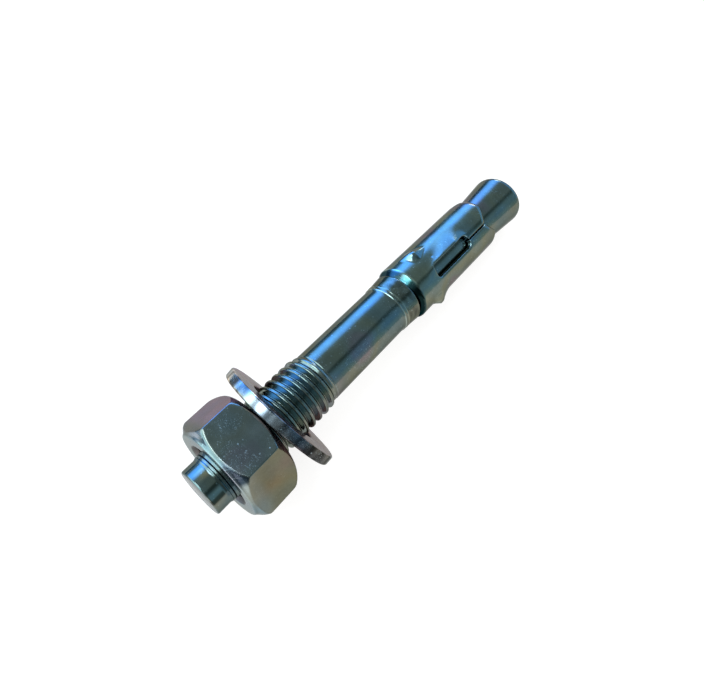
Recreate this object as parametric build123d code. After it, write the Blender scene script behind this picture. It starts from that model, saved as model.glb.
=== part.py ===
from build123d import *
import math
import os

# Wedge anchor M12 x 95, lying as it rests on a flat surface. Lengths in mm, angles in degrees.
# Each piece is drawn along the stud's own axis: X from the dog point's end face to the cone's end,
# Z away from the surface that the anchor lies on. Angles about the stud start at +Y and turn to +Z.

# Fits between the pieces
running_gap = 0.04        # air left where a piece turns, slides or leans on the stud
lean_gap = 0.3            # air left between the leaning washer and the nut's face

# Stud: dog point and thread
stud_length = 95.0
dog_dia = 9.26
dog_length = 2.6          # straight part of the dog point
dog_edge = 0.3            # chamfer of its struck end
dog_root = 1.2            # hollow radius from the dog point to the slope up to the thread
dog_slope_angle = 50.0
thread_dia = 11.8         # over the crests
thread_pitch = 1.75
thread_depth = 0.95       # from a crest down to its root
thread_crest = 0.22       # width of the flat on a crest
thread_end = 26.6         # last full crest
thread_runout = 2.5       # crests fade into the shank over this length

# Stud: shank, collar, neck and cone
shank_dia = 10.7
collar_dia = 11.6
collar_length = 4.6
collar_flare = 3.9        # length of the slope from the shank up to the collar
collar_edge = 0.45        # chamfer of its end towards the clip
neck_dia = 9.7
cone_dia = 11.94          # widest part, just before the rounded rim
cone_angle = 4.5          # half angle
cone_rim = 0.9

# Expansion clip: one sheet wrapped round the neck
clip_sheet = 1.03
clip_play = 0.35          # from the neck to the inside of the clip
clip_length = 28.8
clip_gap = 0.3            # from the collar to the clip
clip_rear_bevel = 0.85    # on the outside, at the end next to the collar
clip_front_bevel = 0.3
segments = 3
window_angle = 120.0      # middle of the first window
window_start = 7.3        # from the clip's rear end
window_length = 11.9
window_width = 3.2
window_corner = 1.2
slit_width = 0.4
corner_cut_length = 2.8   # slanting corners of each finger, along the stud
corner_cut_width = 3.9    # and round it
nub_start = 4.7           # from the clip's rear end
nub_peak = 6.8
nub_end = 10.4
nub_width = 3.3
nub_height = 1.1
nub_dimple = 0.6          # depth of the hollow behind each nub

# Washer
washer_dia = 24.0
washer_play = 0.9         # from the thread to the hole, when centred
washer_thickness = 2.0
washer_edge = 0.25        # chamfer of its outer edges

# Hex nut
nut_across_flats = 18.8
nut_height = 9.7
nut_start = 4.1           # from the dog point's end face
nut_face_inset = 0.4      # from the flats to the round bearing faces
nut_chamfer_angle = 45.0
nut_corner = 0.5
nut_mouth = 0.7           # width of the countersink round the bore
nut_mouth_angle = 45.0
nut_turn = 1.5            # first flat, turned from facing straight up

# Worked out from the sizes above
thread_r = thread_dia / 2
shank_r = shank_dia / 2
collar_r = collar_dia / 2
neck_r = neck_dia / 2
cone_r = cone_dia / 2
cone_slope = math.tan(math.radians(cone_angle))
cone_widest_at = stud_length - cone_rim
cone_start = cone_widest_at - (cone_r - neck_r) / cone_slope
clip_inner_r = neck_r + clip_play
clip_r = clip_inner_r + clip_sheet
clip_end = cone_widest_at - (cone_r - clip_inner_r + running_gap) / cone_slope
clip_start = clip_end - clip_length
collar_end = clip_start - clip_gap
collar_start = collar_end - collar_length
segment_angle = 360 / segments
nut_end = nut_start + nut_height
nut_face_r = nut_across_flats / 2 - nut_face_inset
washer_r = washer_dia / 2
washer_hole_r = thread_r + washer_play
half_washer = washer_thickness / 2
# The washer leans back until the edges of its hole rest on the thread and its top on the nut
hole_reach = math.hypot(washer_hole_r, half_washer)
hole_angle = math.atan(half_washer / washer_hole_r)
tilt = math.acos((thread_r + running_gap) / hole_reach) - hole_angle
washer_at = nut_end + lean_gap + nut_face_r * math.tan(tilt) + half_washer / math.cos(tilt)


def turned(points, corners=()):
    """Turn a profile of (place along the stud, radius) points, with (index, radius) roundings."""
    profile = make_face(Polyline([(x, 0, r) for x, r in points], close=True))
    for index, radius in corners:
        x, r = points[index]
        corner = profile.vertices().sort_by_distance((x, 0, r))[0]
        profile = fillet(corner, radius)
    return revolve(profile, Axis.X)


def thread(start):
    """Section of the rolled thread, drawn as rings: its roots and crests from the dog's slope on."""
    root_r = thread_r - thread_depth
    turns = int((thread_end - start - thread_crest) / thread_pitch)
    points = []
    for turn in range(turns, 0, -1):
        crest_end = thread_end - turn * thread_pitch
        points += [
            (crest_end, thread_r),
            (crest_end + (thread_pitch - thread_crest) / 2, root_r),
            (crest_end + thread_pitch - thread_crest, thread_r),
        ]
    return points + [(thread_end, thread_r)]


def stud():
    """The bolt, one cold-formed piece: dog point, thread, shank, collar, neck and cone."""
    slope = math.radians(dog_slope_angle)
    dog_r = dog_dia / 2
    dog_corner = dog_length + dog_root * math.tan(slope / 2)
    thread_start = dog_corner + (thread_r - dog_r) / math.tan(slope)
    rim_r = cone_r + cone_rim * cone_slope
    dog = [
        (0, 0),
        (0, dog_r - dog_edge),
        (dog_edge, dog_r),
        (dog_corner, dog_r),
        (thread_start, thread_r),
    ]
    shank = [
        (thread_end + thread_runout, shank_r),
        (collar_start, shank_r),
        (collar_start + collar_flare, collar_r),
        (collar_end - collar_edge, collar_r),
        (collar_end, collar_r - collar_edge),
        (collar_end, neck_r),
        (cone_start, neck_r),
        (stud_length, rim_r),
        (stud_length, 0),
    ]
    points = dog + thread(thread_start) + shank
    return turned(points, [(dog.index((dog_corner, dog_r)), dog_root), (len(points) - 2, cone_rim)])


def around(shape, angle):
    """Carry a shape drawn above the axis, at +Z, round the stud to an angle from +Y."""
    return Rot(X=angle - 90) * shape


def punch(outline):
    """A punch that drives a flat outline down through the wall of the clip above the axis."""
    return extrude(Plane.XY.offset(clip_inner_r / 2) * outline, clip_r)


def window():
    """Round-cornered window, reaching from the rear end to the narrow slit in front of it."""
    middle = clip_start + window_start + window_length / 2
    return punch(Pos(middle, 0) * RectangleRounded(window_length, window_width, window_corner))


def slit(start, end):
    """Narrow parallel cut between two places along the clip."""
    return punch(Pos((start + end) / 2, 0) * Rectangle(end - start, slit_width))


def corner_cut(ahead):
    """Notch out past the front edge, for the slanting corners of two neighbouring fingers."""
    back = clip_end - corner_cut_length
    side = corner_cut_width
    return punch(Polygon((back, 0), (clip_end, -side), (ahead, -side),
                         (ahead, side), (clip_end, side), align=None))


def nub(base_r, height):
    """Dart pressed out of the sheet: steep towards the nut, tapering to a point towards the cone."""
    start = clip_start + nub_start
    peak = clip_start + nub_peak
    end = clip_start + nub_end
    half = nub_width / 2
    sink = clip_sheet / 2
    foot = base_r - sink
    spread = 1 + sink / height
    plan = Polygon((start, -half), (end, 0), (start, half), align=None)
    side = Polygon((start, foot), (end, foot), (end, base_r), (peak, base_r + height),
                   (start, base_r), align=None)
    front = Polygon((-half * spread, foot), (half * spread, foot), (0, base_r + height), align=None)
    upright = extrude(Plane.XY.offset(foot) * plan, sink + height)
    ridge = extrude(Plane.XZ * side, half, both=True)
    roof = extrude(Plane.YZ.offset(start) * front, end - start)
    return upright & ridge & roof


def expansion_clip():
    """The sheet sleeve: fingers with windows, slits and nubs between them, and a seam."""
    inner, outer = clip_inner_r, clip_r
    window_edge = clip_start + window_start
    behind = clip_start - clip_sheet
    ahead = clip_end + clip_sheet
    sleeve = turned([
        (clip_start, inner),
        (clip_start, outer - clip_rear_bevel),
        (clip_start + clip_rear_bevel, outer),
        (clip_end - clip_front_bevel, outer),
        (clip_end, outer - clip_front_bevel),
        (clip_end, inner),
    ])
    for segment in range(segments):
        at_window = window_angle + segment * segment_angle
        at_nub = at_window + segment_angle / 2
        sleeve += around(nub(outer, nub_height), at_nub)
        sleeve -= around(nub(inner, nub_dimple), at_nub)
        sleeve -= around(window(), at_window)
        sleeve -= around(slit(window_edge, ahead), at_window)
        sleeve -= around(corner_cut(ahead), at_window)
    seam_angle = window_angle + segment_angle
    return sleeve - around(slit(behind, window_edge), seam_angle)


def washer():
    """Flat washer, loose on the thread and leaning back on the nut."""
    disc = turned([
        (-half_washer, washer_hole_r),
        (-half_washer, washer_r - washer_edge),
        (washer_edge - half_washer, washer_r),
        (half_washer - washer_edge, washer_r),
        (half_washer, washer_r - washer_edge),
        (half_washer, washer_hole_r),
    ])
    return Pos(washer_at, 0, 0) * Rot(Y=-math.degrees(tilt)) * disc


def hex_nut():
    """Double-chamfered hex nut, bored to run on the thread's crests."""
    flats = RegularPolygon(nut_across_flats / 2, 6, major_radius=False)
    bar = extrude(Plane.YZ.offset(nut_start) * flats, nut_height)
    bar = fillet(bar.edges().filter_by(Axis.X), nut_corner)
    waist_at = nut_start + nut_height / 2
    waist_r = nut_face_r + nut_height / 2 / math.tan(math.radians(nut_chamfer_angle))
    blank = [(nut_start, 0), (nut_start, nut_face_r), (waist_at, waist_r),
             (nut_end, nut_face_r), (nut_end, 0)]
    bore_r = thread_r + running_gap
    mouth_r = thread_r + nut_mouth
    sunk = (mouth_r - bore_r) * math.tan(math.radians(nut_mouth_angle))
    hole = [(nut_start, 0), (nut_start, mouth_r), (nut_start + sunk, bore_r),
            (nut_end - sunk, bore_r), (nut_end, mouth_r), (nut_end, 0)]
    return Rot(X=nut_turn) * ((bar & turned(blank)) - turned(hole))


def set_down(pieces):
    """Lay the anchor on its washer's rim and its cone, over the middle of its own outline."""
    rim_low = washer_r * math.cos(tilt) + half_washer * math.sin(tilt)
    rim_at = washer_at + washer_r * math.sin(tilt) - half_washer * math.cos(tilt)
    droop = math.degrees(math.atan((rim_low - cone_r) / (cone_widest_at - rim_at)))
    laid = {name: Rot(Y=droop) * piece for name, piece in pieces.items()}
    box = Compound(list(laid.values())).bounding_box()
    shift = Pos(-box.center().X, -box.center().Y, -box.min.Z)
    return {name: shift * piece for name, piece in laid.items()}


pieces = {
    "stud": stud(),
    "expansion_clip": expansion_clip(),
    "washer": washer(),
    "hex_nut": hex_nut(),
}
os.makedirs("parts", exist_ok=True)
for name, piece in set_down(pieces).items():
    export_step(piece, f"parts/{name}.step")
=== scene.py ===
import math

import bmesh
import bpy
import numpy as np
from mathutils import Matrix, Vector
from mathutils.geometry import delaunay_2d_cdt
from mathutils.kdtree import KDTree


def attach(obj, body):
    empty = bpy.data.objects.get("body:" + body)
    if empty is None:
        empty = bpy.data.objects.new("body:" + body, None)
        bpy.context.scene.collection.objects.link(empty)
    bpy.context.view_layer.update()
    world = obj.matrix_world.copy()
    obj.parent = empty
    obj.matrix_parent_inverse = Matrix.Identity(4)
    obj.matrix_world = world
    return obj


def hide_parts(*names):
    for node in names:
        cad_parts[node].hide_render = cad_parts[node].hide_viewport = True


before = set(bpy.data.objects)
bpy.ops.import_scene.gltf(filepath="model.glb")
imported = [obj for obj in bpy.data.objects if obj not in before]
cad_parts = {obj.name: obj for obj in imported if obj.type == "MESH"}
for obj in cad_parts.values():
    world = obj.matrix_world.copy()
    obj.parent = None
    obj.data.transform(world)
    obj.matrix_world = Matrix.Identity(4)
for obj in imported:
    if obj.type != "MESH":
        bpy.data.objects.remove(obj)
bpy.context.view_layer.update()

# ---------------------------------------------------------------------------------------------
# Stud: a cold-formed bolt, zinc plated, with a dog point for the hammer, a rolled M12 thread, a shank
# at its pitch diameter, a flared collar, a neck and a cone. Geometry nodes wind the thread, the rest is
# turned. Sizes are in mm along the stud from the dog point's end, and "lie" lays them in the frame.
stud_lean = math.radians(4.413987)
lie = (Matrix.Translation((-0.0473888, 0, 0.0131944)) @ Matrix.Rotation(stud_lean, 4, "Y")
       @ Matrix.Scale(0.001, 4))
stud_axis = (math.cos(stud_lean), 0, -math.sin(stud_lean))


class Wire:
    """A node socket that can be used in sums and products, which add Math nodes."""

    def __init__(self, tree, socket):
        self.tree = tree
        self.socket = socket

    def other(self, output):
        """Another output of the same node."""
        return Wire(self.tree, self.socket.node.outputs[output])

    def maths(self, operation, first, second):
        return Nodes(self.tree).maths(operation, first, second)

    def __add__(self, value):
        return self.maths("ADD", self, value)

    def __radd__(self, value):
        return self.maths("ADD", value, self)

    def __sub__(self, value):
        return self.maths("SUBTRACT", self, value)

    def __rsub__(self, value):
        return self.maths("SUBTRACT", value, self)

    def __mul__(self, value):
        return self.maths("MULTIPLY", self, value)

    def __truediv__(self, value):
        return self.maths("DIVIDE", self, value)


class Nodes:
    """Adds nodes to a shader or geometry tree."""

    def __init__(self, tree):
        self.tree = tree

    def add(self, kind, settings, sockets, out=0):
        """One node: its settings first, then values or links for its sockets, by name or number."""
        node = self.tree.nodes.new(kind)
        for name, value in settings.items():
            if name == "stops":
                ramp = node.color_ramp.elements
                while len(ramp) < len(value):
                    ramp.new(0.5)
                for stop, (place, colour) in zip(ramp, value):
                    stop.position = place
                    stop.color = (*colour, 1)
            else:
                setattr(node, name, value)
        for name, value in sockets.items():
            if isinstance(value, Wire):
                self.tree.links.new(value.socket, node.inputs[name])
            else:
                node.inputs[name].default_value = value
        return Wire(self.tree, node.outputs[out]) if len(node.outputs) else node

    def maths(self, operation, *values):
        """A Math node, for what the sums and products of wires can't do."""
        return self.add("ShaderNodeMath", {"operation": operation}, dict(enumerate(values)))

    def between(self, value, low, high, kind="SMOOTHSTEP"):
        """A step from 0 at low to 1 at high. It falls where high is the smaller."""
        return self.add("ShaderNodeMapRange", {"interpolation_type": kind},
                        {"Value": value, "From Min": low, "From Max": high})


def blank(name):
    """A material with an empty node tree, and what adds its nodes."""
    material = bpy.data.materials.new(name)
    material.use_nodes = True
    material.node_tree.nodes.clear()
    return material, Nodes(material.node_tree)


def zinc_plate(name, colour, ends, rough, scratches, specks=0.5, film=1.0, uneven=0.2, swell=False):
    """Zinc plate with a blue passivation: a colour film, fine grain, pale specks and scratches.

    The colour is what it reflects, as linear red, green and blue. "ends" is the colour on faces that
    look along the piece's axis, brighter as a painted reflection. The attribute film tints it by place,
    with the film's colour and with painted light and shade, and its alpha says how worn it is. "swell"
    reads the attribute of that name, a height in metres.
    """
    material, nodes = blank(name)
    place = nodes.add("ShaderNodeTexCoord", {}, {}, "Object")

    def noise(scale, detail=2.0, where=place):
        return nodes.add("ShaderNodeTexNoise", {}, {"Vector": where, "Scale": scale, "Detail": detail})

    def mixed(amount, first, second, blend="MIX"):
        return nodes.add("ShaderNodeMix", {"data_type": "RGBA", "blend_type": blend},
                         {0: amount, 6: first, 7: second}, 2)

    def attribute(name, output):
        return nodes.add("ShaderNodeAttribute", {"attribute_name": name}, {}, output)

    # The ramp holds colours up to 1, so its tints are scaled down and the plate's colours up again
    headroom = 1.25
    tints = ((0.28, (0.80, 0.98, 1.12)), (0.40, (0.95, 1.02, 1.02)), (0.48, (1.04, 1.01, 0.88)),
             (0.56, (1.00, 1.02, 1.02)), (0.64, (1.14, 0.94, 1.10)), (0.75, (0.90, 1.00, 1.15)))
    stops = [(at, [(1 + (t - 1) * film) / headroom for t in tint]) for at, tint in tints]
    tint = nodes.add("ShaderNodeValToRGB", {"stops": stops}, {0: noise(95.0, 1.5)}, "Color")
    across, painted_end = [(*[c * headroom for c in shade], 1) for shade in (colour, ends)]
    # Faces that look along the axis get the brighter colour: a painted reflection
    plate = mixed(attribute("facing_end", "Fac"), across, painted_end)
    # The tint by place: the film's colour, and the painted light and shade of each piece
    by_place = attribute("film", "Color")
    tone = mixed(1.0, mixed(1.0, tint, plate, "MULTIPLY"), by_place, "MULTIPLY")
    # Cloudy patches and fine grain
    clouds = nodes.between(noise(230.0, 4.0), 0.35, 0.68)
    fine = noise(1700.0, 5.0)
    tone = mixed(0.22, tone, mixed(clouds, (0.55, 0.58, 0.6, 1), (1.3, 1.3, 1.26, 1)), "MULTIPLY")
    tone = mixed(0.12, tone, mixed(fine, (0, 0, 0, 1), (2, 2, 2, 1)), "MULTIPLY")
    # Pale specks, and scratches in four directions that are long and thin
    dots = nodes.add("ShaderNodeTexVoronoi", {}, {"Vector": place, "Scale": 1150.0}, "Distance")
    worn = (1 - nodes.between(dots, 0.10, 0.22)) * nodes.between(noise(700.0, 3.0), 0.42, 0.60) * specks
    for turn in ((0.0, 0.5, 0.9), (0.6, -0.4, -0.8), (0.2, 1.1, 0.1), (0.9, 0.2, 1.5)):
        along = nodes.add("ShaderNodeMapping", {"vector_type": "TEXTURE"}, {
            "Vector": place, "Rotation": turn, "Scale": (1 / 420, 1 / 5200, 1 / 5200)})
        line, here = noise(1.0, 1.0, along), noise(170.0, 2.0)
        scratch = nodes.between(line, 0.65, 0.72) * nodes.between(here, 0.45, 0.57)
        worn = worn + scratch * (0.5 * scratches)
    worn = worn * by_place.other("Alpha")
    worn = nodes.maths("MINIMUM", worn, 1.0)
    tone = mixed(worn * 0.5, tone, (0.5, 0.54, 0.53, 1))
    # The surface is a little uneven
    height = noise(400.0, 3.0) * 1.2 + noise(1100.0, 2.0) * 0.25 + worn * 0.3
    bump = nodes.add("ShaderNodeBump", {}, {"Strength": uneven, "Distance": 0.00005, "Height": height})
    if swell:
        bump = nodes.add("ShaderNodeBump", {}, {
            "Strength": 1.0, "Distance": 1.0, "Height": attribute("swell", "Fac"), "Normal": bump})
    rough = rough + clouds * 0.05 + worn * 0.2
    shader = nodes.add("ShaderNodeBsdfPrincipled", {}, {
        "Base Color": tone, "Metallic": 1.0, "Roughness": rough, "Normal": bump,
        "Specular Tint": (0.45, 0.46, 0.45, 1)})
    nodes.add("ShaderNodeOutputMaterial", {}, {"Surface": shader})
    return material


def rounded(points, radii, steps=6):
    """A profile of (place, radius) points with some corners, by number, rounded to a radius."""
    out = []
    for i, p in enumerate(points):
        if i not in radii:
            out.append(p)
            continue
        p = np.array(p, float)
        a = np.array(points[i - 1], float) - p
        b = np.array(points[i + 1], float) - p
        a /= np.linalg.norm(a)
        b /= np.linalg.norm(b)
        half = math.acos(np.clip(a @ b, -1, 1)) / 2
        reach = radii[i] / math.tan(half)
        centre = p + (a + b) / np.linalg.norm(a + b) * radii[i] / math.sin(half)
        start, end = p + a * reach - centre, p + b * reach - centre
        turn = math.acos(np.clip(start @ end / radii[i] ** 2, -1, 1))
        for k in range(steps + 1):
            t = k / steps
            arc = (math.sin((1 - t) * turn) * start + math.sin(t * turn) * end) / math.sin(turn)
            out.append(tuple(centre + arc))
    return out


def turned_mesh(profile, columns):
    """Vertices and faces of a profile turned about X. A point at radius 0 closes the shape."""
    vertices, faces, rings = [], [], []
    for x, r in profile:
        if r == 0:
            rings.append([len(vertices)] * columns)
            vertices.append((x, 0, 0))
            continue
        rings.append(list(range(len(vertices), len(vertices) + columns)))
        for j in range(columns):
            turn = 2 * math.pi * j / columns
            vertices.append((x, r * math.cos(turn), r * math.sin(turn)))
    for low, high in zip(rings, rings[1:]):
        for j in range(columns):
            k = (j + 1) % columns
            face = [low[j], low[k], high[k], high[j]]
            face = [v for n, v in enumerate(face) if v not in face[:n]]
            faces.append(face)
    return vertices, faces


def made(name, vertices, faces, material, film, place=lie, axis=stud_axis):
    """A smooth-shaded object in the frame, with doubles merged and its faces turned outwards.

    Its attribute facing_end is 1 where the surface looks along the axis and 0 where it looks across.
    Its attribute film is what the function film gives for places along the axis, radii and degrees
    round it, which run from the blue side over the top at 90: a tint, with painted light and shade as
    well as colour, and then how worn it is.
    """
    mesh = bpy.data.meshes.new(name)
    mesh.from_pydata([tuple(v) for v in vertices], [], faces)
    work = bmesh.new()
    work.from_mesh(mesh)
    bmesh.ops.remove_doubles(work, verts=work.verts, dist=0.002)
    bmesh.ops.recalc_face_normals(work, faces=work.faces)
    for face in work.faces:
        face.smooth = True
    work.to_mesh(mesh)
    work.free()
    spots = np.zeros(len(mesh.vertices) * 3)
    mesh.vertices.foreach_get("co", spots)
    x, y, z = spots.reshape(-1, 3).T
    tints = np.ones((len(x), 4))
    given = film(x, np.hypot(y, z), np.degrees(np.arctan2(z, y)) % 360)
    tints[:, :given.shape[1]] = given
    mesh.attributes.new("film", "FLOAT_COLOR", "POINT").data.foreach_set("color", tints.ravel())
    mesh.transform(place)
    mesh.update()
    normals = np.zeros(len(mesh.vertices) * 3)
    mesh.vertex_normals.foreach_get("vector", normals)
    looks = np.abs(normals.reshape(-1, 3) @ np.array(axis))
    facing = np.clip((looks - 0.45) / 0.5, 0, 1)
    mesh.attributes.new("facing_end", "FLOAT", "POINT").data.foreach_set("value", facing)
    mesh.materials.append(material)
    piece = bpy.data.objects.new(name, mesh)
    bpy.context.scene.collection.objects.link(piece)
    return piece


def ease(value, low, high):
    """A smooth step from 0 at low to 1 at high. It falls where high is the smaller."""
    t = np.clip((value - low) / (high - low), 0, 1)
    return t * t * (3 - 2 * t)


def band(value, start, full, fade, end):
    """A smooth band: 0 up to start, 1 from full to fade, and 0 from end."""
    return ease(value, start, full) * ease(value, end, fade)


def streaks(place, turn, count, seed):
    """Smooth random streaks from 0 to 1 that run round a piece and change along it."""
    dice = np.random.default_rng(seed)
    total = 0.0
    for _ in range(count):
        slant, waves, start = dice.uniform(-5, 5), dice.integers(2, 13), dice.uniform(0, 6.28)
        total = total + np.sin(place * slant + np.radians(turn) * waves + start)
    return 0.5 + 0.5 * np.clip(total / count ** 0.5, -1, 1)


stud_columns = 128
thread_from, thread_to = 4.0, 29.15
thread_pitch, thread_crest, start_r = 1.75, 5.9, 4.82
dog_r, shank_r, neck_r, collar_r = 4.63, 5.35, 4.85, 5.80
collar_from, collar_from_r, collar_slope = 51.1, 5.52, 0.075
# The dog point, with two ridges where it flares out to the thread
dog_end = rounded([(0, 0), (0, dog_r), (2.5, dog_r)], {1: 0.33}, 8)
dog_end += [(2.62, 4.632), (2.74, 4.645), (2.86, 4.675), (2.98, 4.72), (3.08, 4.77), (3.16, 4.80),
            (3.24, 4.80), (3.32, 4.785), (3.42, 4.79), (3.52, 4.83), (3.62, 4.88), (3.70, 4.90),
            (3.78, 4.89), (3.88, 4.85), (thread_from, start_r)]
# From the thread's end over the shank, two ring steps, the collar and the neck to the cone
shank_end = [(x, shank_r) for x in (thread_to, 29.2, 29.3, 29.6, *np.linspace(30.5, 49.5, 20), 49.97)]
shank_end += [(50.02, 5.38), (50.12, 5.49), (50.2, 5.50), (50.3, 5.47), (50.75, 5.46), (50.8, 5.475),
              (50.9, 5.55), (50.97, 5.555), (collar_from, collar_from_r)]
shank_end += [(x, collar_from_r + (x - collar_from) * collar_slope) for x in np.linspace(51.3, 53.4, 15)]
collar_end = [(53.5, 5.71), (54.50, collar_r), (54.62, neck_r), (57, neck_r)]
shank_end += rounded(collar_end, {1: 0.42, 2: 0.4}, 8)[1:]
shank_end += [(x, neck_r) for x in np.linspace(60, 79, 8)]
shank_end += rounded([(79, neck_r), (80.2, 4.875), (93.4, 5.965)], {1: 3}, 12)[1:]
shank_end += [(93.6, 5.976), (93.9, 5.975), (94.2, 5.945), (94.42, 5.895), (94.6, 5.825), (94.75, 5.73),
              (94.87, 5.61), (94.95, 5.46), (94.99, 5.28)]
shank_end += [(95, r) for r in (5.1, 4.9, 4.0, 3.0, 1.5, 0)]


def thread_tree():
    """Geometry nodes for a rolled right-hand thread: a grid whose rows follow the helix."""
    tree = bpy.data.node_groups.new("rolled_thread", "GeometryNodeTree")
    inputs = {"Pitch": thread_pitch, "Crest radius": thread_crest, "Depth": 0.95, "Shank radius": shank_r,
              "From": thread_from, "To": thread_to, "First crest": 0.184, "Start radius": start_r,
              "Start slope": 0.4, "Run in": 0.2, "Run out": 2.7, "Streak": 0.012, "Groove": 0.12}
    for name, value in inputs.items():
        socket = tree.interface.new_socket(name, in_out="INPUT", socket_type="NodeSocketFloat")
        socket.default_value = value
    tree.interface.new_socket("Finish", in_out="INPUT", socket_type="NodeSocketMaterial")
    tree.interface.new_socket("Geometry", in_out="OUTPUT", socket_type="NodeSocketGeometry")
    nodes = Nodes(tree)
    given = nodes.add("NodeGroupInput", {}, {})
    size = {name: given.other(name) for name in [*inputs, "Finish"]}
    rows_per_pitch, spare_pitches, ripples = 28, 3, 7
    crest_share, root_share = 0.16, 1.04
    rows = int((thread_to - thread_from) / thread_pitch + spare_pitches) * rows_per_pitch
    grid = nodes.add("GeometryNodeMeshGrid", {}, {"Size X": rows, "Size Y": 1.0, "Vertices X": rows + 1,
                                                  "Vertices Y": stud_columns + 1})
    place = nodes.add("ShaderNodeSeparateXYZ", {}, {0: nodes.add("GeometryNodeInputPosition", {}, {})})
    row = (place.other("X") + rows / 2) / rows_per_pitch
    turn = place.other("Y") + 0.5
    lead = nodes.maths("WRAP", size["From"] - size["First crest"], size["Pitch"], 0.0)
    first = size["From"] - size["Pitch"] - lead
    along = first + (row + turn) * size["Pitch"]
    along = nodes.add("ShaderNodeClamp", {}, {"Value": along, "Min": size["From"], "Max": size["To"]})
    # The section of one pitch: 0 apart is its crest and 1 its root, with fine rolling marks
    phase = nodes.maths("FRACT", row + 0.5)
    apart = nodes.maths("ABSOLUTE", phase - 0.5) * 2
    flank = nodes.between(apart, crest_share, root_share)
    struck = nodes.maths("SINE", phase * (2 * math.pi * ripples))
    rise = nodes.between(along, size["From"], size["From"] + size["Run in"])
    fall = nodes.between(along, size["To"], size["To"] - size["Run out"])
    thread = size["Crest radius"] - flank * size["Depth"] + struck * size["Streak"]
    radius = size["Shank radius"] + (thread - size["Shank radius"]) * rise * fall
    # A hollow before its end, and a chamfered start
    groove = (nodes.between(along, size["To"] - 0.8, size["To"] - 0.35)
              * nodes.between(along, size["To"], size["To"] - 0.12, "LINEAR"))
    radius = radius - groove * size["Groove"]
    mouth = size["Start radius"] + (along - size["From"]) * size["Start slope"]
    radius = nodes.maths("MINIMUM", radius, mouth)
    angle = turn * (2 * math.pi)
    across, above = radius * nodes.maths("COSINE", angle), radius * nodes.maths("SINE", angle)
    spot = nodes.add("ShaderNodeCombineXYZ", {}, {"X": along, "Y": across, "Z": above})
    bent = nodes.add("GeometryNodeSetPosition", {}, {"Geometry": grid, "Position": spot})
    closed = nodes.add("GeometryNodeMergeByDistance", {}, {"Geometry": bent, "Distance": 0.002})
    real = nodes.add("GeometryNodeRealizeInstances", {}, {"Geometry": closed})
    dressed = nodes.add("GeometryNodeSetMaterial", {}, {"Geometry": real, "Material": size["Finish"]})
    nodes.add("NodeGroupOutput", {}, {"Geometry": dressed})
    return tree


stud_zinc = zinc_plate("stud_zinc", (0.150, 0.156, 0.132), (0.24, 0.275, 0.27), rough=0.13, scratches=0.7)
tree = thread_tree()
holder = bpy.data.objects.new("thread_holder", bpy.data.meshes.new("thread_holder"))
bpy.context.scene.collection.objects.link(holder)
rolling = holder.modifiers.new("rolled_thread", "NODES")
rolling.node_group = tree
for item in tree.interface.items_tree:
    if item.in_out == "INPUT" and item.name == "Finish":
        rolling[item.identifier] = stud_zinc
ready = holder.evaluated_get(bpy.context.evaluated_depsgraph_get())
thread_mesh = bpy.data.meshes.new_from_object(ready)
bpy.data.objects.remove(holder)
vertices = [tuple(v.co) for v in thread_mesh.vertices]
faces = [list(p.vertices) for p in thread_mesh.polygons]
for profile in (dog_end, shank_end):
    more, panels = turned_mesh(profile, stud_columns)
    faces += [[v + len(vertices) for v in face] for face in panels]
    vertices += more


def stud_mottling_and_painted_light(x, r, turn):
    """The point has painted dark and bright bands round it, reflections painted into its colour, and its
    root has painted light, bluer above and duller in front.

    The collar is mottled, with painted highlights on its edges, and painted shade in the gap behind it
    below.
    """
    flare = band(x, 50.9, 51.3, 53.9, 54.4)
    # Painted shade in the gap behind the collar, on its lower half
    gap = band(x, 54.42, 54.6, 57.0, 57.5) * band(turn, 100, 125, 200, 250)
    # Painted highlights along the ring steps and the collar's rounded end
    edges = band(x, 49.99, 50.05, 50.2, 50.28) + 0.6 * band(x, 50.78, 50.84, 50.98, 51.05)
    edges = edges + 0.8 * band(x, 54.2, 54.3, 54.38, 54.46)
    tone = (1 - 0.42 * flare * streaks(x, turn, 9, 4)) * (1 - 0.85 * gap) * (1 + 0.9 * edges)
    point = ease(x, 2.7, 2.5)
    # Painted dark bands and a painted bright band round the point, standing in for reflections
    painted_bands = 0.7 * band(turn, 130, 133, 141, 145) + 0.4 * band(turn, 107, 112, 115, 120)
    painted_bands = painted_bands - 0.5 * band(turn, 119, 122, 125, 129) * streaks(x * 3, turn, 6, 2)
    tone = tone * (1 - point * painted_bands)
    # A warm painted highlight on the point's upper side
    bright = ease(x, 0.3, 0.5) * band(turn, 63, 69, 81, 92) * (0.7 + 0.6 * streaks(x * 3, turn, 7, 2))
    tint = 1 + (point * bright)[:, None] * np.array([1.9, 1.0, 0.4])
    # Painted light on the root: bluer above and darker towards the front
    root = band(x, 2.5, 2.9, 4.6, 4.9)
    cool = root * ease(turn, 102, 92)
    dull = root * band(turn, 96, 104, 148, 158)
    shift = cool[:, None] * np.array([-0.1, 0.02, 0.25]) - dull[:, None] * np.array([0.5, 0.38, 0.25])
    return tone[:, None] * (tint * (1 + shift))


stud = made("stud_body", vertices, faces, stud_zinc, stud_mottling_and_painted_light)
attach(stud, "stud")
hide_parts("stud")

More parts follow.
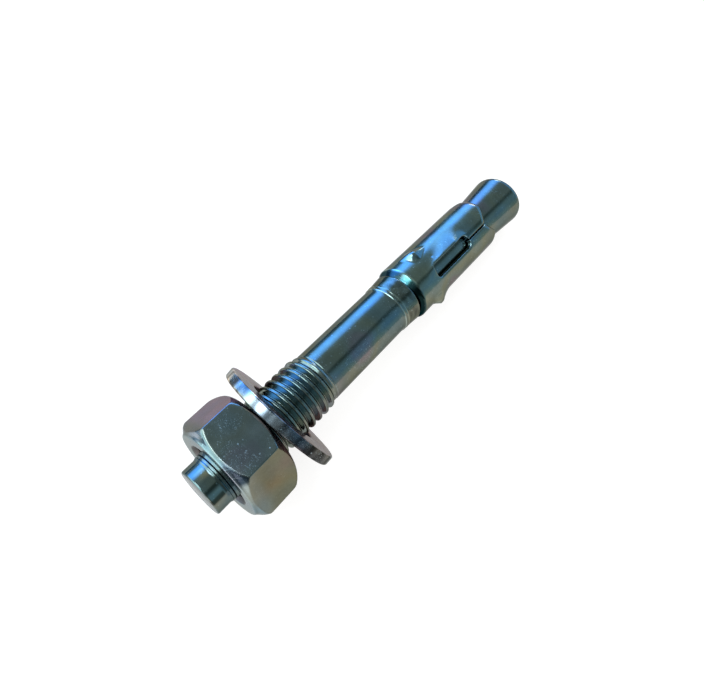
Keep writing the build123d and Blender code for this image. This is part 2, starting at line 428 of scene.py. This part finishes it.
# ---------------------------------------------------------------------------------------------
# Expansion clip: one blank of 1 mm sheet, punched with three windows, slits and corner cuts, pressed
# with three darts, and rolled round the neck. Its seam runs through one window. Zinc plated.
# It is cut flat here, (place round the stud, place along it), and then rolled.
clip_start, clip_end = 54.95, 83.81
clip_inner_r, clip_sheet = 5.2, 1.03
clip_r = clip_inner_r + clip_sheet
segment = 2 * math.pi * clip_r / 3
window_from, window_to, window_half, window_flat = 61.95, 74.3, 1.6, 0.42
slit_half, cut_from, cut_half = 0.12, 81.05, 3.9
seam_half, seam_turn = 0.25, 240
half_sheet, rear_bevel, rear_share, rear_thin, front_bevel = 0.5, 1.02, 0.96, 0.13, 0.3
front_slant, front_dip, front_dip_length = 0.73, 0.42, 1.6
# The hollow is a share of a dart's height. A dart widens by two amounts, before and after its ridge.
dart_from, dart_to, dart_height, dart_hollow, dart_offset = 59.4, 65.9, 1.13, 0.75, 0.5
dart_run_out, dart_before, dart_after, dart_rear, dart_askew = 4.4, 2.25, 1.4, 1.35, 0.35
dent_around, dent_along, dent_r, dent_depth = 3.3, 63.7, 0.42, 0.1
outer_rounding, inner_rounding = 0.42, 0.12

# One side of a window, from its rear edge to the clip's front edge, with the corners' radii
side_cut = [((window_half, window_from), 1.0), ((window_half, window_to), 1.2),
            ((slit_half, window_to), 0.25), ((slit_half, cut_from), 0.3), ((cut_half, clip_end), 2.2)]
cuts = [((seam_half, clip_start), 0.25), ((3 * segment - seam_half, clip_start), 0.25),
        ((3 * segment - seam_half, window_from), 0.3)]
cuts += [((3 * segment - a, b), r) for (a, b), r in side_cut]
for middle in (2 * segment, segment):
    cuts += [((middle + a, b), r) for (a, b), r in reversed(side_cut)]
    cuts += [((middle - a, b), r) for (a, b), r in side_cut]
cuts += [((a, b), r) for (a, b), r in reversed(side_cut)] + [((seam_half, window_from), 0.3)]


def cut_outline(cuts, step=0.2):
    """The blank's closed outline with its corners rounded, divided into short steps."""
    loop = []
    for i, (point, radius) in enumerate(cuts):
        trio = [cuts[i - 1][0], point, cuts[(i + 1) % len(cuts)][0]]
        loop += rounded(trio, {1: radius}, 8)[1:-1]
    loop = [np.array(p, float) for p in loop]
    even = []
    for a, b in zip(loop, loop[1:] + loop[:1]):
        parts = max(1, int(np.linalg.norm(b - a) / step))
        even += [a + (b - a) * k / parts for k in range(parts)]
    return np.array(even)


def edge_room(loop, widest):
    """How wide the rounding of the cut edge is at each point, so that no tight corner folds over."""
    before, after = loop - np.roll(loop, 1, 0), np.roll(loop, -1, 0) - loop
    lengths = np.linalg.norm(before, axis=1), np.linalg.norm(after, axis=1)
    bend = (before[:, 0] * after[:, 1] - before[:, 1] * after[:, 0]) / (lengths[0] * lengths[1])
    corner_r = np.where(bend > 0.01, (lengths[0] + lengths[1]) / 2 / np.maximum(bend, 0.01), np.inf)
    room = np.minimum(widest, 0.8 * corner_r)
    apart = np.linalg.norm(loop[:, None] - loop[None], axis=2)
    return (room[None] + 0.5 * apart).min(1)


def inset(loop, by):
    """The outline moved inwards, for the rounding of the sheet's cut edge."""
    along = np.roll(loop, -1, 0) - np.roll(loop, 1, 0)
    along /= np.linalg.norm(along, axis=1)[:, None]
    return loop + np.stack([-along[:, 1], along[:, 0]], 1) * by[:, None]


def inside(points, loop):
    """Which points lie inside a closed outline."""
    x, y = points[:, 0][:, None], points[:, 1][:, None]
    a, b = loop, np.roll(loop, -1, 0)
    crosses = (a[:, 1] > y) != (b[:, 1] > y)
    with np.errstate(divide="ignore", invalid="ignore"):
        at = a[:, 0] + (y - a[:, 1]) / (b[:, 1] - a[:, 1]) * (b[:, 0] - a[:, 0])
    return (crosses & (x < at)).sum(1) % 2 == 1


def filled(loop, step):
    """A triangulated sheet inside an outline, with points in rows a step apart."""
    a = np.arange(loop[:, 0].min(), loop[:, 0].max(), step)
    b = np.arange(loop[:, 1].min(), loop[:, 1].max(), step)
    grid = np.stack(np.meshgrid(a, b), -1).reshape(-1, 2)
    grid = grid[inside(grid, loop)]
    near = KDTree(len(loop))
    for i, p in enumerate(loop):
        near.insert((*p, 0), i)
    near.balance()
    grid = [p for p in grid if near.find((*p, 0))[2] > step * 0.45]
    points = [Vector(p) for p in loop] + [Vector(p) for p in grid]
    ring = [(i, (i + 1) % len(loop)) for i in range(len(loop))]
    result = delaunay_2d_cdt(points, ring, [], 1, 1e-5)
    return [tuple(v) for v in result[0]], [list(f) for f in result[2]]


def window_side(a, b):
    """How much the sheet above one window stays flat where the punch held it, instead of round."""
    above = 2 * segment - window_half - a
    held = np.clip(1 - above / 3.9, 0, 1) ** 2 * ease(above, -2.6, -0.3)
    return held * ease(b - 1.6 * np.maximum(above, 0), 58.5, 65.5) * ease(b, window_to + 0.5, 70.0)


def rear_shift(turn):
    """How far the clip's rear edge is from its middle place: it is rolled askew, and open below."""
    return 0.6 * band(turn, 98, 150, 260, 330) - 0.26


def pressed(a, b, h):
    """How far the sheet is moved out at one point: its bevelled edges, flat window sides and darts."""
    bevel = rear_bevel - rear_shift((seam_turn + math.degrees(a / clip_r)) % 360)
    out = -rear_share * max(0.0, 1 - (b - clip_start) / bevel) * max(0.0, h - rear_thin)
    out -= max(0.0, front_bevel - (clip_end - b)) * max(0.0, h - half_sheet)
    out += window_flat * window_side(a, b)
    # The fingers' slanting front edge is bent in
    edge_at = cut_from + (abs((a + segment / 2) % segment - segment / 2) - slit_half) * front_slant
    out -= front_dip * max(0.0, 1 - (min(edge_at, clip_end) - b) / front_dip_length) ** 2
    # Each dart rises steeply at its rear and runs out forwards, and has its hollow inside the sheet
    taper = min(1.0, max(0.0, (dart_to - b) / dart_run_out))
    for k in range(3):
        from_ridge = a - (k + 0.5) * segment - dart_offset
        away = abs(from_ridge) / (dart_before if from_ridge < 0 else dart_after)
        if taper > 0:
            ridge = min(1.0, max(0.0, 1.15 - away / taper))
            rear = min(1.0, max(0.0, (b - dart_from - dart_askew * from_ridge) / dart_rear))
            out += dart_height * rear * taper ** 1.9 * ridge * (1 if h > half_sheet else dart_hollow)
    # A small dent beside the middle dart
    dent = math.hypot(a - 1.5 * segment - dent_around, b - dent_along) / dent_r
    return out - dent_depth * max(0.0, 1 - dent)


def rolled(a, b, h):
    """One point of the flat blank, carried round the stud. The height is from the inner face."""
    turn = math.radians(seam_turn) + a / clip_r
    reach = clip_inner_r + h + pressed(a, b, h)
    askew = rear_shift(math.degrees(turn) % 360) * np.clip(1 - (b - clip_start) / 4, 0, 1)
    return (b + askew, reach * math.cos(turn), reach * math.sin(turn))


edge = cut_outline(cuts)
outer_edge, inner_edge = edge_room(edge, outer_rounding), edge_room(edge, inner_rounding)
loops = []
for t in np.linspace(0, math.pi / 2, 6):
    loops.append((inset(edge, outer_edge * (1 - math.sin(t))), clip_sheet - outer_edge * (1 - math.cos(t))))
for h in (0.6, 0.35):
    loops.append((edge, np.full(len(edge), h)))
for t in np.linspace(0, math.pi / 2, 4):
    loops.append((inset(edge, inner_edge * (1 - math.cos(t))), inner_edge * (1 - math.sin(t))))
vertices, faces = [], []
count = len(edge)
for loop, heights in loops:
    vertices += [rolled(a, b, h) for (a, b), h in zip(loop, heights)]
for n in range(len(loops) - 1):
    for i in range(count):
        j = (i + 1) % count
        faces.append([n * count + i, n * count + j, (n + 1) * count + j, (n + 1) * count + i])
for loop, h, step in ((loops[0][0], clip_sheet, 0.22), (loops[-1][0], 0.0, 0.5)):
    flat, triangles = filled(loop, step)
    faces += [[v + len(vertices) for v in face] for face in triangles]
    vertices += [rolled(a, b, h) for a, b in flat]
clip_zinc = zinc_plate("clip_zinc", (0.172, 0.180, 0.150), (0.36, 0.43, 0.44), rough=0.15, scratches=0.3,
                       film=1.2, swell=True)


def clip_painted_light(x, r, turn):
    """The bevelled rear edge has painted shade in dark teal, and painted shadow, nearly black, along its
    lower half; its rim has a painted highlight above.
    """
    lower = band(turn, 96, 118, 200, 250)
    upper = ease(turn, 86, 74)[:, None]
    behind = ease(x - clip_start, 1.05, 0.85)
    # A painted highlight along the rim, kept off the lower half
    rim = band(x - clip_start, 0.85, 0.95, 1.15, 1.45) * (1 - lower)
    # Painted shade on the bevel: dark teal below, greyer above
    stain = np.array([0.75, 0.38, 0.28]) * (1 - upper) + np.array([0.85, 0.76, 0.70]) * upper
    shade = 1 - behind[:, None] * stain
    # Painted shadow, nearly black, on the bevel's lower half
    return shade * ((1 - 0.93 * behind * lower) * (1 + 1.3 * rim))[:, None]


clip = made("clip_sleeve", vertices, faces, clip_zinc, clip_painted_light)
# A bump carries on the flat beside the window, where the light shows it
spots = np.array([lie.inverted() @ v.co for v in clip.data.vertices])
round_at = np.radians((np.degrees(np.arctan2(spots[:, 2], spots[:, 1])) - seam_turn) % 360) * clip_r
swell = 0.0007 * window_side(round_at, spots[:, 0])
clip.data.attributes.new("swell", "FLOAT", "POINT").data.foreach_set("value", swell)
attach(clip, "clip")
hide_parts("expansion_clip")

# ---------------------------------------------------------------------------------------------
# Washer: stamped from 2 mm strip, so its upper edge is drawn over and its lower edge is sharp. It is
# loose on the thread, and leans back on the nut.
washer_at, washer_tilt = 18.784, math.radians(21.84)
washer_r, washer_hole_r, washer_half, washer_columns = 12, 6.8, 1, 192
outer_ring_r, next_ring_r, inner_ring_r = 11.4, 11.1, 9
lean = lie @ Matrix.Translation((washer_at, 0, 0)) @ Matrix.Rotation(-washer_tilt, 4, "Y")
washer_axis = (math.cos(washer_tilt - stud_lean), 0, math.sin(washer_tilt - stud_lean))
# The rings on its faces keep the rim's streaks off them
rim = [(-washer_half, outer_ring_r), (-washer_half, washer_r), (washer_half, washer_r),
       (washer_half, outer_ring_r)]
hole = [(washer_half, inner_ring_r), (washer_half, washer_hole_r), (-washer_half, washer_hole_r),
        (-washer_half, inner_ring_r)]
profile = [(-washer_half, inner_ring_r), *rounded(rim, {1: 0.45, 2: 0.3}, 8), (washer_half, next_ring_r)]
profile += rounded(hole, {1: 0.3, 2: 0.25}, 7)
vertices, faces = turned_mesh(profile, washer_columns)
washer_zinc = zinc_plate("washer_zinc", (0.135, 0.130, 0.135), (0.20, 0.165, 0.17), rough=0.24,
                         scratches=1.0, specks=1.0, film=1.4, uneven=0.45)


def washer_streaks_and_painted_light(x, r, turn):
    """The cut rim is torn in streaks across its thickness, with painted light: paler above, duller below,
    and painted highlight and shade bands round it.
    """
    rim = ease(r, 11.45, 11.75)
    torn = streaks(x * 0.25, turn * 4, 14, 8)
    # Painted light on the rim: lighter above and darker below
    tone = 1 + rim * (0.9 * band(turn, 20, 45, 84, 100) - 0.6 * band(turn, 100, 120, 155, 172))
    tone = tone * (1 + rim * 1.3 * (torn - 0.55))
    # Painted highlight and shade bands round the rim
    struck = 1.1 * ease(turn, 46, 38) - 0.45 * band(turn, 57, 61, 68, 73)
    struck = struck + 0.5 * band(turn, 72, 76, 86, 92) + 1.1 * band(turn, 102, 106, 114, 124)
    tone = tone * (1 + rim * struck)
    # A warm painted highlight on the rim's upper part
    pale = rim * band(turn, 30, 42, 66, 84) * (0.4 + 0.6 * ease(x, 0.5, -0.5))
    tint = 1 + pale[:, None] * np.array([0.6, 0.3, 0.0])
    return tone[:, None] * tint * (1 + (1 - rim)[:, None] * np.array([0.25, -0.05, -0.06]))


washer = made("washer_ring", vertices, faces, washer_zinc, washer_streaks_and_painted_light, lean, washer_axis)
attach(washer, "washer")
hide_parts("washer")

# ---------------------------------------------------------------------------------------------
# Hex nut: cold-forged, both ends chamfered, bored and countersunk. Each direction round the stud
# has the distance to the six flats, cut down by the chamfers near both ends. Zinc plated.
nut_from, nut_to, across_flats = 4.1, 13.8, 18.8
first_flat_turn = 91.5
first_flat = math.radians(first_flat_turn)
edge_power, edge_blend = 160, 0.13
# Radii of the two chamfers, by how far they are from the end face
struck_shoulder = [(0, 8.87), (0.05, 8.95), (0.12, 9.03), (0.35, 9.22), (0.55, 9.42), (0.8, 9.74),
                   (1.05, 10.06), (1.35, 10.36), (1.8, 10.78), (2.3, 11.2)]
seat_shoulder = [(0, 8.9), (0.03, 8.98), (0.1, 9.1), (0.3, 9.42), (0.6, 9.8), (1.0, 10.2), (1.5, 10.6),
                 (2.2, 11.0), (3.0, 11.4)]


def nut_reach(turn, place):
    """Radius of the nut's outside in one direction, at one place along the stud.

    It is the smooth smallest of the flats' distance and the chamfers', measured from a middle radius.
    """
    shares = [max(0.0, math.cos(turn - first_flat - k * math.pi / 3)) ** edge_power for k in range(6)]
    flats = sum(shares) ** (-1 / edge_power) * across_flats / 2
    struck = np.interp(place - nut_from, *zip(*struck_shoulder))
    seat = np.interp(nut_to - place, *zip(*seat_shoulder))
    middle = 9
    apart = [math.exp(-(r - middle) / edge_blend) for r in (flats, min(struck, seat))]
    return middle - edge_blend * math.log(sum(apart))


places = [0, 0.015, 0.03, 0.06, 0.1, 0.18] + list(np.arange(0.25, 2.1, 0.055)) + [2.3, 2.7, 3.2, 4.0]
rows = [(nut_from + p, None) for p in places] + [(nut_to - p, None) for p in reversed(places)]
end_face = [(0, 8.6), (0, 8.2), (0, 7.6), (0, 7.0)]
countersink = [(0, 6.72), (0.02, 6.66), (0.08, 6.58), (0.7, 5.98), (0.8, 5.94)]
rows += [(nut_to - d, r) for d, r in end_face + countersink]
rows += [(nut_from + d, r) for d, r in reversed(end_face + countersink)]
# Directions round the stud are closest together at the six edges
turns = []
half_steps, crowding = 24, 1.6
for k in range(6):
    for step in np.arange(-half_steps, half_steps):
        off_edge = 30 * np.sign(step) * abs(step / half_steps) ** crowding
        turns.append(first_flat + math.radians(60 * k + 30 + off_edge))
columns = len(turns)
vertices, faces = [], []
for place, radius in rows:
    for turn in turns:
        r = nut_reach(turn, place) if radius is None else radius
        vertices.append((place, r * math.cos(turn), r * math.sin(turn)))
for n in range(len(rows)):
    m = (n + 1) % len(rows)
    for j in range(columns):
        k = (j + 1) % columns
        faces.append([n * columns + j, n * columns + k, m * columns + k, m * columns + j])
nut_zinc = zinc_plate("nut_zinc", (0.160, 0.162, 0.134), (0.37, 0.44, 0.45), rough=0.18, scratches=1.0,
                      specks=1.0, film=0.7)


def nut_tints_and_painted_light(x, r, turn):
    """Each flat has its own tint, partly the film's colour and partly painted reflection: the flat towards
    the blue side is painted brighter and pinker, and the flat past the top one browner. The top flat is
    worn.

    The head-side chamfer beside that flat is darker towards the front, the next flat has a brown stain,
    and the bore's mouth has painted shade.
    """
    x = x - nut_from
    # Tints of the six flats: film colour, with painted reflection making one brighter and one browner
    tints = np.array([(1.9, 1.3, 1.95), (1.05, 1.03, 1.12), (0.90, 0.84, 0.70), (1.1, 1.0, 1.1),
                      (0.95, 1.0, 0.9), (1.1, 1.1, 1.2)])
    sector = ((turn - first_flat_turn + 60) / 60) % 6
    low = np.floor(sector).astype(int) % 6
    share = ease(sector % 1, 0.47, 0.53)[:, None]
    tint = tints[low] * (1 - share) + tints[(low + 1) % 6] * share
    plain = 0.85 * ease(x, 4.2, 1.4)[:, None]
    tint = tint * (1 - plain) + plain * np.array([1.08, 1.08, 1.12])
    outside = ease(r, 8.6, 9.6)[:, None]
    # Painted shade in the bore's mouth
    mouth = ease(r, 6.75, 6.55)[:, None]
    tint = (tint * outside + 1 - outside) * (1 + mouth * np.array([-0.45, -0.55, -0.5]))
    from_middle = (turn - first_flat_turn + 30) % 60 - 30
    flat_r = across_flats / 2 / np.cos(np.radians(from_middle))
    # The head-side chamfer beside the top flat is darker, more so as it turns past the top
    chamfer = ease(x, 2.9, 2.4) * ease(r, 8.9, 9.3) * ease(flat_r - r, 0.02, 0.2)
    chamfer = chamfer * band(turn, 60, 66, 123, 129)
    chamfer_darkening = 0.42 + 0.23 * ease(turn, 90, 104) + 0.2 * ease(turn, 110, 120)
    tint = tint * (1 - (chamfer * chamfer_darkening)[:, None] * np.array([1.0, 0.95, 0.88]))
    stain = np.exp(-((x - 4.8) / 2.7) ** 2 - ((turn - 152) / 10) ** 2)
    tint = tint * (1 + stain[:, None] * np.array([0.06, -0.09, -0.17]))
    wear = 0.12 + 0.88 * band(turn, 62, 66, 119, 123)
    return np.concatenate([tint, wear[:, None]], 1)


nut = made("nut_body", vertices, faces, nut_zinc, nut_tints_and_painted_light)
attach(nut, "nut")
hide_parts("hex_nut")

# ---------------------------------------------------------------------------------------------
# Studio: a pale floor in a white room, and a long curved backdrop over the anchor for its metal to
# reflect, grey-green overhead with a blue window low on one side. Cards close the backdrop's ends.
floor_half = 3
canopy_r, canopy_half, canopy_middle, canopy_strips = 0.9, 1.4, 0.013, 64
canopy_from, canopy_to = -0.01, math.pi + 0.01
head_x, head_split = -0.30, 1.6
flag_half, flag_y, flag_from, flag_to = 0.25, 0.05, 0.0005, 0.0135


def staged(name, corners, faces, material):
    """A piece of the studio."""
    mesh = bpy.data.meshes.new(name)
    mesh.from_pydata(corners, [], faces)
    mesh.materials.append(material)
    thing = bpy.data.objects.new(name, mesh)
    bpy.context.scene.collection.objects.link(thing)
    return thing


def arc(x, start, end, steps):
    """Points on the canopy's curve, between two angles round it, at one place along it."""
    turns = np.linspace(start, end, steps + 1)
    return [(x, canopy_r * math.cos(t), canopy_middle + canopy_r * math.sin(t)) for t in turns]


pale, nodes = blank("pale_floor")
ray = nodes.add("ShaderNodeLightPath", {}, {})
shown = ray.other("Is Camera Ray") + ray.other("Is Glossy Ray") + ray.other("Is Transmission Ray")
matt = nodes.add("ShaderNodeBsdfDiffuse", {}, {"Color": (0.3, 0.3, 0.3, 1)})
glow = nodes.add("ShaderNodeEmission", {}, {"Color": (1, 0.995, 0.985, 1), "Strength": shown * 0.8})
both = nodes.add("ShaderNodeAddShader", {}, {0: matt, 1: glow})
nodes.add("ShaderNodeOutputMaterial", {}, {"Surface": both})
staged("floor", [(x * floor_half, y * floor_half, 0) for x, y in ((-1, -1), (1, -1), (1, 1), (-1, 1))],
       [(0, 1, 2, 3)], pale)

cloth, nodes = blank("canopy_cloth")
spot = nodes.add("ShaderNodeSeparateXYZ", {}, {0: nodes.add("ShaderNodeTexCoord", {}, {}, "Object")})
around = nodes.maths("ARCTAN2", spot.other("Z") - canopy_middle, spot.other("Y"))
# Degrees from the floor on the blue side, over the top, with linear colours
bands = [(0, (0.02, 0.06, 0.11)), (4, (0.035, 0.1, 0.17)), (8, (0.11, 0.33, 0.84)),
         (17, (0.135, 0.44, 1.25)), (25, (0.135, 0.49, 1.40)), (34, (0.13, 0.41, 1.14)),
         (43, (0.10, 0.27, 0.70)), (50, (0.06, 0.11, 0.14)), (58, (0.056, 0.086, 0.104)),
         (80, (0.047, 0.071, 0.084)), (110, (0.047, 0.071, 0.084)),
         (118, (0.015, 0.027, 0.031)), (124, (0.016, 0.030, 0.036)), (134, (0.042, 0.081, 0.115)),
         (146, (0.047, 0.095, 0.145)), (154, (0.043, 0.089, 0.141)), (165, (0.060, 0.105, 0.134)),
         (178, (0.08, 0.12, 0.13))]
brightest, canopy_strength = 1.4, 6.3
stops = [(a / 180, [c / brightest for c in colour]) for a, colour in bands]
tones = nodes.add("ShaderNodeValToRGB", {"stops": stops}, {0: around / math.pi}, "Color")
light = nodes.add("ShaderNodeEmission", {}, {"Color": tones, "Strength": brightest * canopy_strength})
nodes.add("ShaderNodeOutputMaterial", {}, {"Surface": light})
sides = [arc(x, canopy_from, canopy_to, canopy_strips) for x in (-canopy_half, canopy_half)]
canopy = staged("canopy", [corner for pair in zip(*sides) for corner in pair],
                [(2 * i, 2 * i + 1, 2 * i + 3, 2 * i + 2) for i in range(canopy_strips)], cloth)


def card(name, corners, colour):
    """A flat card that glows in one colour."""
    finish, nodes = blank(name)
    glow = nodes.add("ShaderNodeEmission", {}, {"Color": (*colour, 1), "Strength": 1.0})
    nodes.add("ShaderNodeOutputMaterial", {}, {"Surface": glow})
    return staged(name, corners, [list(range(len(corners)))], finish)


def slice_of_end(x, start, end):
    """Corners of a slice across the canopy, between two angles round it."""
    return [(x, 0, canopy_middle)] + arc(x, start, end, 32)


low_flag = [(-flag_half, flag_y, flag_from), (flag_half, flag_y, flag_from),
            (flag_half, flag_y, flag_to), (-flag_half, flag_y, flag_to)]
cards = [card("canopy_head_sky", slice_of_end(head_x, canopy_from, head_split), (2.1, 3.1, 3.5)),
         card("canopy_head_ground", slice_of_end(head_x, head_split, canopy_to), (0.26, 0.33, 0.35)),
         card("canopy_tip_end", slice_of_end(canopy_half, canopy_from, canopy_to), (0.38, 0.95, 1.9)),
         card("low_flag", low_flag, (0.14, 0.30, 0.46))]
# Only the metal sees them
for thing in (canopy, *cards):
    thing.visible_camera = False
    thing.visible_diffuse = False
    thing.visible_shadow = False

world = bpy.data.worlds.new("studio")
bpy.context.scene.world = world
world.use_nodes = True
world.node_tree.nodes.clear()
nodes = Nodes(world.node_tree)
air = nodes.add("ShaderNodeBackground", {}, {"Color": (1, 1, 1, 1), "Strength": 1.0})
nodes.add("ShaderNodeOutputWorld", {}, {"Surface": air})


def softbox(name, azimuth, elevation, distance, width, height, colour, radiance):
    """A soft rectangular lamp that faces the anchor, with its place in degrees and metres."""
    lamp = bpy.data.lights.new(name, "AREA")
    lamp.shape = "RECTANGLE"
    lamp.size, lamp.size_y = width, height
    lamp.color = colour
    lamp.energy = radiance * math.pi * width * height
    a, e = math.radians(azimuth), math.radians(elevation)
    way = np.array([math.cos(e) * math.cos(a), math.cos(e) * math.sin(a), math.sin(e)])
    side = np.cross([0, 0, 1], way)
    side /= np.linalg.norm(side)
    up = np.cross(way, side)
    thing = bpy.data.objects.new(name, lamp)
    bpy.context.scene.collection.objects.link(thing)
    rows = [(side[k], up[k], way[k], way[k] * distance) for k in range(3)]
    thing.matrix_world = Matrix((*rows, (0, 0, 0, 1)))
    thing.visible_camera = False


softbox("key_softbox", azimuth=138, elevation=60, distance=0.7, width=0.32, height=0.32,
        colour=(0.62, 0.80, 1.0), radiance=7.5)
softbox("rim_softbox", azimuth=27, elevation=9, distance=0.7, width=0.14, height=0.15,
        colour=(0.8, 0.93, 1.0), radiance=7.0)

# The photograph's own camera, from its fit to the thread's pitch and the rims' ellipses
eye = bpy.data.cameras.new("camera")
eye.sensor_width = 36
eye.lens = 27.6132
eye.shift_x = 0.05274
eye.shift_y = -0.0705
eye.clip_start = 0.005
camera = bpy.data.objects.new("camera", eye)
bpy.context.scene.collection.objects.link(camera)
camera.location = (-0.0482155, -0.0201533, 0.1075442)
camera.rotation_euler = [math.radians(a) for a in (28.3493, -2.89062, -47.517371)]
bpy.context.scene.camera = camera
bpy.context.scene.view_settings.view_transform = "Standard"


def plain(box):
    """A box's corners as plain numbers."""
    return [[float(c) for c in corner] for corner in box]
